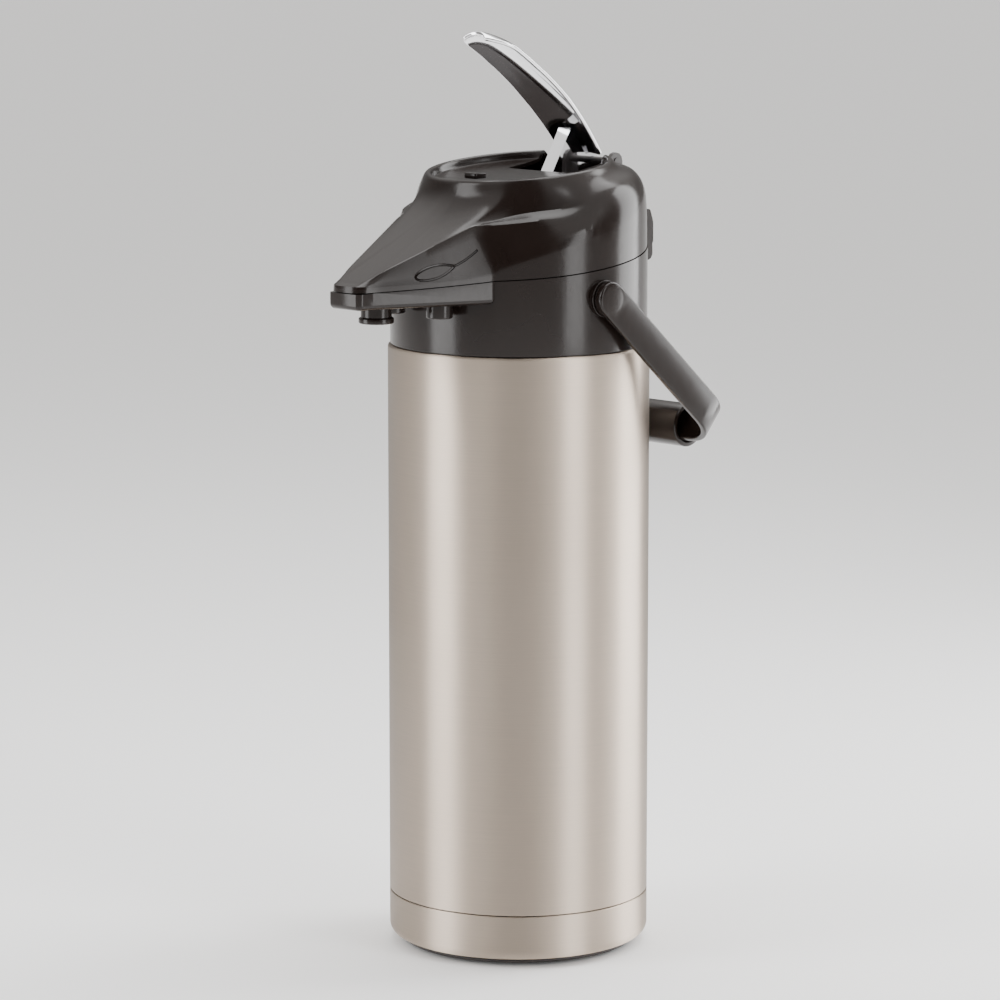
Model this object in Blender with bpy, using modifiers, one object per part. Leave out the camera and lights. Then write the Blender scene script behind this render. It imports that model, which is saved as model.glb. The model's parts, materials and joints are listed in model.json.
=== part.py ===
"""Thermal coffee airpot with a lever pump: steel jacket, vacuum bottle, collar and hinged pump head.

Metres, +Z up. The origin is the middle of the underside. The spout points along -Y and the hinge is at +Y.
"""

import math

import bmesh
import bpy
from mathutils import Matrix, Vector

# Driving dimensions
JACKET_RADIUS = 0.080
JACKET_LOW = 0.0330
JACKET_HIGH = 0.3728
JACKET_MOUTH = 0.0740
SHEET = 0.0006
GAP = 0.0003

PLATE_RADIUS = 0.0735
TURNTABLE_RADIUS = 0.0728
TURNTABLE_TOP = 0.0042
RING_LOW = 0.0046
BASE_SCREW_CIRCLE = 0.045
BASE_SCREWS = 3

VESSEL_RADIUS = 0.0770
LINER_RADIUS = 0.0665
NECK_RADIUS = 0.0330
LINER_FLOOR = 0.0250
VESSEL_FLOOR = 0.0170
RIM_HEIGHT = 0.3955

COLLAR_RADIUS = 0.0785
COLLAR_WALL = 0.0030
COLLAR_LOW = JACKET_HIGH + 0.0005
COLLAR_TOP = 0.4470
COLLAR_LEDGE = 0.0460
HEAD_RADIUS = 0.0782
HEAD_WALL = 0.0024

BEAK_TIP = 0.148
BEAK_TIP_HALF = 0.0135
BEAK_ROOT_HALF = 0.0444
BEAK_ROOT = 0.0647
BEAK_FLOOR = 0.4050
BEAK_SCREW_SIDE = 0.020
BEAK_SCREW_FORWARD = 0.0885

NOZZLE_FORWARD = 0.121
STEM_FORWARD = 0.022
PUMP_BACK = 0.012
TUBE_RADIUS = 0.0042

HINGE_BACK = 0.0870
HINGE_HEIGHT = 0.4235
HINGE_ROUND = 0.0045
HINGE_PIN = 0.0019
HINGE_BORE = 0.0022
LEVER_BACK = 0.060
LEVER_HEIGHT = 0.4815
LEVER_PIN = 0.0021
LEVER_ANGLE = math.radians(40.9)
LEVER_LENGTH = 0.120
LEVER_HALF = 0.0200

HANDLE_HEIGHT = 0.4068
HANDLE_FORWARD = 0.0080
HANDLE_DROP = math.radians(40.9)
HANDLE_REACH = 0.1362
HANDLE_INSIDE = 0.0820
HANDLE_OUTSIDE = 0.0865
HANDLE_BAND = 0.0210
HANDLE_CORNER = 0.026
GRIP_RADIUS = 0.0135
GRIP_BORE = 0.0110
GRIP_HALF = 0.0550

TURN_STEPS = 40
SMALL_STEPS = 16


def parting_height(forward):
    """Height of the line where the lid meets the collar."""
    return 0.4252 - 0.12 * forward + 0.35 * forward * forward


def wall_height(forward):
    """Top of the upright wall of the pump head."""
    return 0.4546 - 0.314 * forward - 1.607 * forward * forward


def rim_height(forward):
    """Top of the raised rim round the lever recess."""
    return 0.4815 - 0.10 * forward


def ridge_height(forward):
    """Height of the two ridges that run down the beak."""
    return 0.422 + 0.42 * (0.142 - forward)


# Scene and object helpers


def clear_scene():
    for thing in list(bpy.data.objects):
        bpy.data.objects.remove(thing, do_unlink=True)


def new_collection(name):
    collection = bpy.data.collections.new(name)
    bpy.context.scene.collection.children.link(collection)
    return collection


def finish_material(name, colour, roughness, metallic=0.0):
    material = bpy.data.materials.new(name)
    material.use_nodes = True
    shader = material.node_tree.nodes["Principled BSDF"]
    shader.inputs["Base Color"].default_value = (*colour, 1.0)
    shader.inputs["Roughness"].default_value = roughness
    shader.inputs["Metallic"].default_value = metallic
    material.diffuse_color = (*colour, 1.0)
    return material


def add_part(name, data, material):
    part = bpy.data.objects.new(name, data)
    PARTS.objects.link(part)
    if material is not None:
        data.materials.append(material)
    return part


def add_cutter(name, data):
    cutter = bpy.data.objects.new(name, data)
    CUTTERS.objects.link(cutter)
    cutter.hide_render = True
    cutter.display_type = "WIRE"
    return cutter


def add_solid(name, data, material, cutter):
    """A piece of the airpot, or a cutter that shapes one."""
    return add_cutter(name, data) if cutter else add_part(name, data, material)


def shade_round(mesh, angle=30):
    mesh.shade_smooth()
    mesh.set_sharp_from_angle(angle=math.radians(angle))


def mesh_from(name, bm):
    mesh = bpy.data.meshes.new(name)
    bmesh.ops.recalc_face_normals(bm, faces=bm.faces[:])
    bm.to_mesh(mesh)
    bm.free()
    return mesh


def boolean(part, cutter, operation="DIFFERENCE", solver="EXACT"):
    modifier = part.modifiers.new(f"{operation.lower()} {cutter.name}", "BOOLEAN")
    modifier.operation = operation
    modifier.solver = solver
    modifier.object = cutter
    return part


def turned(name, profile, material, closed=True, steps=TURN_STEPS, at=(0, 0, 0), cutter=False):
    """A piece turned about its own Z from (radius, height) points that run down its outer side."""
    mesh = bpy.data.meshes.new(name)
    points = [(radius, 0, height) for radius, height in profile]
    count = len(points)
    edges = [(i, i + 1) for i in range(count - 1)]
    if closed:
        edges.append((count - 1, 0))
    mesh.from_pydata(points, edges, [])
    part = add_solid(name, mesh, material, cutter)
    screw = part.modifiers.new("turn", "SCREW")
    screw.steps = steps
    screw.render_steps = steps
    screw.use_merge_vertices = True
    screw.merge_threshold = 0.00001
    screw.use_smooth_shade = True
    part.location = at
    return part


def ring(name, inner, outer, low, high, material, **more):
    profile = [(outer, high), (outer, low), (inner, low), (inner, high)]
    return turned(name, profile, material, **more)


def disc(name, radius, low, high, material, **more):
    profile = [(0, high), (radius, high), (radius, low), (0, low)]
    return turned(name, profile, material, closed=False, **more)


def arc(centre, radius, start, end, count):
    """Points on an arc, with angles in degrees."""
    for i in range(count + 1):
        angle = math.radians(start + (end - start) * i / count)
        yield (centre[0] + radius * math.cos(angle), centre[1] + radius * math.sin(angle))


AXES = {
    "x": Matrix(((0, 0, 1), (1, 0, 0), (0, 1, 0))),
    "y": Matrix(((1, 0, 0), (0, 0, -1), (0, 1, 0))),
    "z": Matrix.Identity(3),
}


def slab(name, outlines, along, low, high, material, cutter=False):
    """Flat outlines, the first with any holes after it, thickened from low to high along an axis.

    The outline's own axes are Y and Z along x, X and Z along y, and X and Y along z.
    """
    curve = bpy.data.curves.new(name, "CURVE")
    curve.dimensions = "2D"
    curve.fill_mode = "BOTH"
    curve.extrude = (high - low) / 2
    for outline in outlines:
        spline = curve.splines.new("POLY")
        spline.points.add(len(outline) - 1)
        for point, (a, b) in zip(spline.points, outline):
            point.co = (a, b, 0, 1)
        spline.use_cyclic_u = True
    guide = bpy.data.objects.new(name + " outline", curve)
    CUTTERS.objects.link(guide)
    turn = AXES[along].to_4x4()
    middle = (low + high) / 2
    sign = -1 if along == "y" else 1
    guide.matrix_world = turn @ Matrix.Translation((0, 0, sign * middle))
    return meshed(guide, name, material, cutter)


def meshed(guide, name, material, cutter=False):
    """The solid of a curve object as a mesh object in the same place."""
    bpy.context.view_layer.update()
    graph = bpy.context.evaluated_depsgraph_get()
    mesh = bpy.data.meshes.new_from_object(guide.evaluated_get(graph))
    mesh.transform(guide.matrix_world)
    bm = bmesh.new()
    bm.from_mesh(mesh)
    bmesh.ops.remove_doubles(bm, verts=bm.verts[:], dist=0.000002)
    bmesh.ops.recalc_face_normals(bm, faces=bm.faces[:])
    bm.to_mesh(mesh)
    bm.free()
    mesh.materials.clear()
    mesh.name = name
    bpy.data.objects.remove(guide, do_unlink=True)
    return add_solid(name, mesh, material, cutter)


def rod(name, radius, low, high, along, at, material, steps=SMALL_STEPS, cutter=False):
    """A round bar from low to high along an axis; at gives its other two coordinates."""
    bm = bmesh.new()
    bmesh.ops.create_cone(
        bm, cap_ends=True, segments=steps, radius1=radius, radius2=radius, depth=high - low
    )
    mesh = mesh_from(name, bm)
    part = add_solid(name, mesh, material, cutter)
    middle = (low + high) / 2
    if along == "x":
        part.rotation_euler = (0, math.pi / 2, 0)
        part.location = (middle, at[0], at[1])
    elif along == "y":
        part.rotation_euler = (math.pi / 2, 0, 0)
        part.location = (at[0], middle, at[1])
    else:
        part.location = (at[0], at[1], middle)
    shade_round(mesh)
    return part


def block(name, low, high, material, cutter=False, bevel=0.0):
    """A box between two corners, with its edges rounded by a Bevel."""
    bm = bmesh.new()
    bmesh.ops.create_cube(bm, size=1.0)
    size = Vector(high) - Vector(low)
    bmesh.ops.scale(bm, vec=size, verts=bm.verts[:])
    mesh = mesh_from(name, bm)
    part = add_solid(name, mesh, material, cutter)
    part.location = (Vector(low) + Vector(high)) / 2
    if bevel:
        rounding = part.modifiers.new("edges", "BEVEL")
        rounding.width = bevel
        rounding.segments = 2
    return part


def tube(name, route, radius, material, cutter=False, sides=2):
    """A round bar or pipe along a smooth route."""
    curve = bpy.data.curves.new(name, "CURVE")
    curve.dimensions = "3D"
    curve.bevel_depth = radius
    curve.bevel_resolution = sides
    curve.use_fill_caps = True
    spline = curve.splines.new("POLY")
    spline.points.add(len(route) - 1)
    for point, place_at in zip(spline.points, route):
        point.co = (*place_at, 1)
    guide = bpy.data.objects.new(name + " route", curve)
    CUTTERS.objects.link(guide)
    return meshed(guide, name, material, cutter)


def smooth_route(points, pieces=4):
    """Extra points on a Catmull-Rom curve through the given ones."""
    route = []
    padded = [points[0], *points, points[-1]]
    for a, b, c, d in zip(padded, padded[1:], padded[2:], padded[3:]):
        for i in range(pieces):
            t = i / pieces
            a_, b_, c_, d_ = Vector(a), Vector(b), Vector(c), Vector(d)
            route.append(
                0.5 * (2 * b_ + t * (c_ - a_) + t * t * (2 * a_ - 5 * b_ + 4 * c_ - d_)
                       + t ** 3 * (3 * b_ - a_ - 3 * c_ + d_))
            )
    route.append(Vector(points[-1]))
    return route


clear_scene()
PARTS = new_collection("coffee airpot")
CUTTERS = new_collection("cutters")

BLACK = finish_material("black plastic", (0.030, 0.022, 0.021), 0.22)
SATIN_BLACK = finish_material("satin black plastic", (0.035, 0.030, 0.029), 0.45)
GREY_PLASTIC = finish_material("grey plastic", (0.30, 0.29, 0.28), 0.5)
BRUSHED = finish_material("brushed steel", (0.62, 0.56, 0.50), 0.32, 1.0)
STEEL = finish_material("plain steel", (0.60, 0.58, 0.56), 0.25, 1.0)
CHROME = finish_material("chrome", (0.85, 0.85, 0.86), 0.05, 1.0)
RUBBER = finish_material("black rubber", (0.03, 0.03, 0.03), 0.8)
SILICONE = finish_material("silicone", (0.75, 0.74, 0.70), 0.55)


# Outlines that the collar and the head share


def beak_outline(inset, back_radius, tip=BEAK_TIP):
    """Plan of the beak from above, pulled in by inset, closed at the back by an arc about the axis."""
    tip_half = BEAK_TIP_HALF - inset
    root_half = BEAK_ROOT_HALF - inset
    corner = 0.006
    end = tip - inset
    right = [(root_half, -BEAK_ROOT), (tip_half, -(end - corner)), (tip_half - corner / 2, -end)]
    left = [(-x, y) for x, y in reversed(right)]
    half_angle = math.degrees(math.asin(root_half / back_radius))
    back = list(arc((0, 0), back_radius, 270 - half_angle, 270 + half_angle, 8))
    return right + left + back


def lid_outline():
    """Half of the head's plan as (x, forward) from the tip to the back, and how many points are the beak's."""
    tip = [(0, BEAK_TIP), (0.0085, BEAK_TIP - 0.0008), (BEAK_TIP_HALF, 0.1425)]
    side = []
    for i in (1, 2, 3):
        t = i / 3
        half = BEAK_TIP_HALF + 0.001 + (BEAK_ROOT_HALF - BEAK_TIP_HALF - 0.001) * t
        side.append((half, 0.138 + (BEAK_ROOT - 0.138) * t))
    start = math.degrees(math.atan2(BEAK_ROOT_HALF, BEAK_ROOT))
    steps = 8
    around = []
    for i in range(1, steps + 1):
        angle = math.radians(start + (180 - start) * i / steps)
        around.append((HEAD_RADIUS * 1.009 * math.sin(angle), HEAD_RADIUS * 1.009 * math.cos(angle)))
    return tip + side + around, len(tip) + len(side)


def oval_ring(outline, radius, height):
    """Points of the outline pulled in to a circle, with their heights from a function of forward."""
    points = []
    for x, forward in outline:
        angle = math.atan2(x, forward)
        u, v = radius * math.sin(angle), radius * math.cos(angle)
        points.append((u, v, height(v)))
    return points


def ridge_ring(outline, beak_count):
    """The ridges of the beak, then the shoulder of the head behind them."""
    points = []
    for i, (x, forward) in enumerate(outline):
        if i < 3:
            points.append((x * 0.84, forward - 0.006, ridge_height(forward - 0.006) - 0.001))
        elif i < beak_count:
            share = (i - 3) / (beak_count - 4)
            half = 0.0150 + (0.0330 - 0.0150) * share
            along = 0.128 + (0.072 - 0.128) * share
            points.append((half, along, ridge_height(along)))
        else:
            angle = math.atan2(x, forward)
            u, v = 0.0665 * math.sin(angle), 0.0665 * math.cos(angle)
            rise = 0.55 + 0.15 * max(0.0, -v / 0.0665)
            edge = wall_height(v * HEAD_RADIUS / 0.0665)
            points.append((u, v, edge + rise * (rim_height(v) - edge)))
    return points


def head_rings():
    """Half rings of the head's outer surface, from the parting line up to the middle of the recess."""
    outline, beak_count = lid_outline()
    low = [(x, v, parting_height(v) + GAP) for x, v in outline]
    wall = []
    for i, (x, v) in enumerate(outline):
        top = parting_height(v) + 0.004 if i < beak_count - 1 else wall_height(v)
        wall.append((x * 0.995, v * 0.995, top))
    rings = [low, wall, ridge_ring(outline, beak_count)]

    forehead = []
    for x, v in outline:
        angle = math.atan2(x, v)
        u, w = 0.0630 * math.sin(angle), 0.0630 * math.cos(angle)
        front = max(0.0, math.cos(angle)) ** 6
        height = (1 - front) * (rim_height(w) - 0.0085 - 0.05 * max(0.0, w)) + front * 0.4555
        forehead.append((u, w, height))
    rings.append(forehead)
    rings.append(oval_ring(outline, 0.0575, lambda v: rim_height(v) - 0.0012))
    rings.append(oval_ring(outline, 0.0560, rim_height))
    rings.append(oval_ring(outline, 0.0540, lambda v: rim_height(v) - 0.0010))
    rings.append(oval_ring(outline, 0.0520, lambda v: rim_height(v) - 0.0050))
    rings.append(oval_ring(outline, 0.0300, lambda v: rim_height(v) - 0.0062))
    return rings


def loft_mesh(name, half_rings):
    """A surface through half rings that are mirrored across X, closed over its last ring."""
    bm = bmesh.new()
    rows = []
    for half in half_rings:
        loop = list(half) + [(-x, v, z) for x, v, z in reversed(half[1:-1])]
        rows.append([bm.verts.new((x, -v, z)) for x, v, z in loop])
    count = len(rows[0])
    for below, above in zip(rows, rows[1:]):
        for i in range(count):
            j = (i + 1) % count
            bm.faces.new((below[i], above[i], above[j], below[j]))
    top = rows[-1]
    centre = bm.verts.new(sum((v.co for v in top), Vector()) / count)
    for i in range(count):
        bm.faces.new((top[i], centre, top[(i + 1) % count]))
    bmesh.ops.recalc_face_normals(bm, faces=bm.faces[:])
    if centre.link_faces[0].normal.z < 0:
        bmesh.ops.reverse_faces(bm, faces=bm.faces[:])
    mesh = bpy.data.meshes.new(name)
    bm.to_mesh(mesh)
    bm.free()
    return mesh


# Base


def build_base():
    disc("foot_pad", 0.0620, 0, 0.0012, RUBBER, steps=36)
    profile = [(0.0, TURNTABLE_TOP), (0.0716, TURNTABLE_TOP), (TURNTABLE_RADIUS, 0.0034),
               (TURNTABLE_RADIUS, 0.0022), (0.0718, 0.0015), (0, 0.0015)]
    table = turned("swivel_base", profile, SATIN_BLACK, closed=False)
    pin_profile = [(0, 0.0120), (0.0040, 0.0120), (0.0040, 0.0030), (0.0080, 0.0030),
                   (0.0080, 0.0019), (0, 0.0019)]
    turned("swivel_pin", pin_profile, STEEL, closed=False, steps=SMALL_STEPS)
    hole = [(0, 0.006), (0.0044, 0.006), (0.0044, 0.0033), (0.0084, 0.0033),
            (0.0084, 0.0010), (0, 0.0010)]
    boolean(table, turned("swivel pin hole", hole, None, closed=False, steps=SMALL_STEPS, cutter=True))

    plate = ring("base_plate", 0.0044, PLATE_RADIUS, 0.0057, 0.0085, SATIN_BLACK, steps=TURN_STEPS)
    ring("swivel_nut", 0.0048, 0.0085, 0.0088, 0.0118, STEEL, steps=12)
    for number in range(BASE_SCREWS):
        angle = math.radians(90 + 360 / BASE_SCREWS * number)
        at = (BASE_SCREW_CIRCLE * math.cos(angle), BASE_SCREW_CIRCLE * math.sin(angle), 0)
        screw = [(0, 0.0140), (0.0016, 0.0130), (0.0016, 0.0054), (0.0036, 0.0054),
                 (0.0036, 0.0046), (0, 0.0046)]
        turned(f"base_screw_{number + 1}", screw, STEEL, closed=False, steps=12, at=at)
        cut = rod(f"base screw hole {number + 1}", 0.0020, 0.004, 0.010, "z", at, None, 12, True)
        boolean(plate, cut)

    bend = 0.0065
    lip_radius = 0.0695
    top = JACKET_LOW - 2 * GAP
    outer = [(JACKET_RADIUS, top)]
    outer += list(arc((JACKET_RADIUS - bend, RING_LOW + bend), bend, 0, -90, 5))
    inner = list(arc((JACKET_RADIUS - bend, RING_LOW + bend), bend - SHEET, -90, 0, 5))
    inner.append((JACKET_RADIUS - SHEET, top))
    lip = [(lip_radius, RING_LOW), (lip_radius, RING_LOW + SHEET)]
    turned("base_ring", outer + lip + inner, BRUSHED)


# Jacket and vacuum bottle


def cup_profile(radius, floor, neck, top, shoulder_low, shoulder_high, corner=0.012):
    """One side of a bottle's wall from the bottom's middle up to the mouth."""
    points = [(0, floor), (radius - corner, floor)]
    points += list(arc((radius - corner, floor + corner), corner, -60, 0, 2))
    points.append((radius, shoulder_low))
    points.append((radius - 0.010, shoulder_low + 0.6 * (shoulder_high - shoulder_low)))
    points += [(neck + 0.004, shoulder_high - 0.002), (neck, shoulder_high + 0.002), (neck, top)]
    return points


def build_bottle():
    bend = 0.0015
    outer = list(arc((JACKET_RADIUS - bend, JACKET_HIGH - bend), bend, 90, 0, 3))
    inner = list(arc((JACKET_RADIUS - bend, JACKET_HIGH - bend), bend - SHEET, 0, 90, 3))
    profile = [(JACKET_MOUTH, JACKET_HIGH)] + outer
    profile += [(JACKET_RADIUS, JACKET_LOW), (JACKET_RADIUS - SHEET, JACKET_LOW)]
    profile += inner + [(JACKET_MOUTH, JACKET_HIGH - SHEET)]
    turned("outer_shell", profile, BRUSHED, steps=48)

    ring("vessel_cushion", 0.030, 0.062, 0.0148, VESSEL_FLOOR - GAP, RUBBER, steps=24)
    top = 0.3925
    inside = cup_profile(VESSEL_RADIUS - SHEET, VESSEL_FLOOR + SHEET, 0.0390, top, 0.335, 0.3660)
    outside = cup_profile(VESSEL_RADIUS, VESSEL_FLOOR, 0.0398, top, 0.335, 0.3670)
    turned("vacuum_vessel", inside + outside[::-1], STEEL, closed=False, steps=28)
    inside = cup_profile(LINER_RADIUS, LINER_FLOOR, NECK_RADIUS, RIM_HEIGHT, 0.320, 0.3560)
    outside = cup_profile(LINER_RADIUS + SHEET, LINER_FLOOR - SHEET, NECK_RADIUS + SHEET,
                          RIM_HEIGHT - 0.001, 0.321, 0.3570)
    rim_radius = 0.0405
    rim = [(rim_radius, RIM_HEIGHT), (rim_radius, RIM_HEIGHT - 0.001)]
    turned("vessel_liner", inside + rim + outside[::-1], STEEL, closed=False, steps=28)
    ring("neck_gasket", 0.0335, 0.0400, RIM_HEIGHT + GAP, 0.3985, SILICONE, steps=24)
    ring("neck_nut", 0.0402, 0.0530, 0.3769, 0.3850, SATIN_BLACK, steps=24)


# Collar with the lower half of the beak


def build_collar():
    thin = COLLAR_RADIUS - COLLAR_WALL
    ledge_top = COLLAR_LOW + COLLAR_WALL
    profile = [(COLLAR_RADIUS, COLLAR_TOP), (COLLAR_RADIUS, COLLAR_LOW), (COLLAR_LEDGE, COLLAR_LOW),
               (COLLAR_LEDGE, ledge_top), (thin, ledge_top), (thin, COLLAR_TOP)]
    collar = turned("collar", profile, BLACK, steps=48)

    outline = beak_outline(0, COLLAR_RADIUS - 0.0015)
    trough = slab("beak trough", [outline], "z", BEAK_FLOOR, COLLAR_TOP + 0.002, None, True)
    low_edges = trough.modifiers.new("lower edges", "BEVEL")
    low_edges.width = 0.003
    low_edges.segments = 2
    low_edges.limit_method = "ANGLE"
    boolean(collar, trough, "UNION", "MANIFOLD")
    for side in (-1, 1):
        at = (side * BEAK_SCREW_SIDE, 0.0002 - BEAK_SCREW_FORWARD)
        boss = rod(f"beak boss {side}", 0.0079, 0.3970, 0.4084, "z", at, None, 20, True)
        boolean(collar, boss, "UNION", "MANIFOLD")
    outline = beak_outline(0.0024, thin - 0.001)
    inside = slab("beak inside", [outline], "z", BEAK_FLOOR + 0.0028, COLLAR_TOP + 0.003, None, True)
    boolean(collar, inside, solver="MANIFOLD")
    way = rod("nozzle hole", 0.0095, 0.3900, 0.4200, "z", (0, -NOZZLE_FORWARD), None, SMALL_STEPS, True)
    boolean(collar, way, solver="MANIFOLD")
    for side in (-1, 1):
        at = (side * BEAK_SCREW_SIDE, -BEAK_SCREW_FORWARD)
        way = rod(f"beak screw hole {side}", 0.0055, 0.3900, 0.4010, "z", at, None, 16, True)
        boolean(collar, way, solver="MANIFOLD")
        pivot = (-HANDLE_FORWARD, HANDLE_HEIGHT)
        ends = sorted((side * 0.0740, side * 0.0785))
        pad = rod(f"handle pad {side}", 0.0112, *ends, "x", pivot, None, 28, True)
        boolean(collar, pad, "UNION", "MANIFOLD")
        ends = sorted((side * 0.0700, side * 0.0840))
        way = rod(f"handle hole {side}", 0.0082, *ends, "x", pivot, None, SMALL_STEPS, True)
        boolean(collar, way, solver="MANIFOLD")
        screw = [(0, 0.4008), (0.0050, 0.4008), (0.0050, 0.3985), (0, 0.3985)]
        name = "beak_screw_" + ("right" if side > 0 else "left")
        turned(name, screw, STEEL, closed=False, steps=12, at=(*at, 0))

    steps = 16
    reach, behind = 0.185, 0.100
    span = [-behind + (reach + behind) * i / steps for i in range(steps + 1)]
    edge = [(-v, parting_height(v) - GAP) for v in span]
    above = slab("parting line", [edge + [(-reach, 0.47), (behind, 0.47)]], "x", -0.12, 0.12, None, True)
    boolean(collar, above, solver="MANIFOLD")
    pin_at = (HINGE_BACK, HINGE_HEIGHT)
    for side in (-1, 1):
        lug = [(0.0744, 0.4055), (0.0850, 0.4100)]
        lug += list(arc(pin_at, HINGE_ROUND, -20, 190, 8))
        lug += [(0.0815, 0.4175), (0.0744, 0.4175)]
        ends = sorted((side * 0.0136, side * 0.0216))
        ear = slab(f"hinge lug {side}", [lug], "x", *ends, None, True)
        boolean(collar, ear, "UNION", "MANIFOLD")
    way = rod("hinge pin hole", HINGE_BORE, -0.03, 0.03, "x", pin_at, None, 12, True)
    boolean(collar, way, solver="MANIFOLD")
    rod("hinge_pin", HINGE_PIN, -0.0222, 0.0222, "x", pin_at, STEEL, 12)

    nozzle = [(0.0092, 0.4125), (0.0092, 0.3990), (0.0105, 0.3985), (0.0105, 0.3962),
              (0.0060, 0.3950), (0.0060, 0.4085), (0.0078, 0.4125)]
    turned("spout_nozzle", nozzle, BLACK, steps=SMALL_STEPS, at=(0, -NOZZLE_FORWARD, 0))


# Dip tube and its flange in the bottle's mouth


def build_stem():
    at = (0, -STEM_FORWARD, 0)
    ring("dip_tube", 0.0036, 0.0044, 0.0320, 0.4075, STEEL, steps=16, at=at)
    flange = disc("stem_flange", 0.0360, 0.3988, 0.4010, GREY_PLASTIC, steps=24)
    boolean(flange, rod("stem hole", 0.0048, 0.395, 0.405, "z", at, None, 16, True))
    boolean(flange, rod("air way", 0.0070, 0.395, 0.405, "z", (0, PUMP_BACK), None, 16, True))
    ring("stem_seal", 0.0047, 0.0078, 0.4013, 0.4058, SILICONE, steps=16, at=at)


# Carrying handle


def build_handle():
    reach = HANDLE_REACH
    inner, outer = HANDLE_INSIDE, HANDLE_OUTSIDE
    thick = outer - inner
    corner = (outer - HANDLE_CORNER, reach + thick / 2 - HANDLE_CORNER)
    right = [(outer, 0)] + list(arc(corner, HANDLE_CORNER, 0, 90, 7))
    left = [(-x, d) for x, d in reversed(right)]
    back = [(-inner, 0)]
    back += [(-x, d) for x, d in arc(corner, HANDLE_CORNER - thick, 0, 90, 7)]
    front = [(-x, d) for x, d in reversed(back)]
    bail = slab("handle_bail", [right + left + back + front], "z",
                -HANDLE_BAND / 2, HANDLE_BAND / 2, BLACK)
    for side in (-1, 1):
        ends = sorted((side * (inner - 0.0012), side * outer))
        hub = rod(f"handle hub {side}", HANDLE_BAND / 2, *ends, "x", (0, 0), None, 32, True)
        hub.parent = bail
        boolean(bail, hub, "UNION")
        ends = sorted((side * 0.070, side * (outer - 0.0018)))
        bore = rod(f"handle bore {side}", 0.0036, *ends, "x", (0, 0), None, 16, True)
        bore.parent = bail
        boolean(bail, bore)
    bail.rotation_euler = (-HANDLE_DROP, 0, 0)
    bail.location = (0, -HANDLE_FORWARD, HANDLE_HEIGHT)

    grip = ring("handle_grip", GRIP_BORE, GRIP_RADIUS, -GRIP_HALF, GRIP_HALF, BLACK, steps=24)
    grip.rotation_euler = (0, math.pi / 2, 0)
    back, down = reach * math.cos(HANDLE_DROP), reach * math.sin(HANDLE_DROP)
    grip.location = (0, back - HANDLE_FORWARD, HANDLE_HEIGHT - down)

    for side, word in ((1, "right"), (-1, "left")):
        profile = [(0.0033, 0.0805), (0.0094, 0.0805), (0.0094, 0.0797), (0.0110, 0.0797),
                   (0.0110, 0.0788), (0.0078, 0.0788), (0.0078, 0.0735), (0.0033, 0.0735)]
        boss = turned(f"handle_boss_{word}", profile, BLACK, steps=28)
        boss.rotation_euler = (0, side * math.pi / 2, 0)
        boss.location = (0, -HANDLE_FORWARD, HANDLE_HEIGHT)
        pin = [(0, 0.0842), (0.0030, 0.0842), (0.0030, 0.0731), (0.0060, 0.0731),
               (0.0060, 0.0717), (0, 0.0717)]
        pivot = turned(f"handle_pin_{word}", pin, STEEL, closed=False, steps=16)
        pivot.rotation_euler = (0, side * math.pi / 2, 0)
        pivot.location = (0, -HANDLE_FORWARD, HANDLE_HEIGHT)


# Pump head


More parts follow.
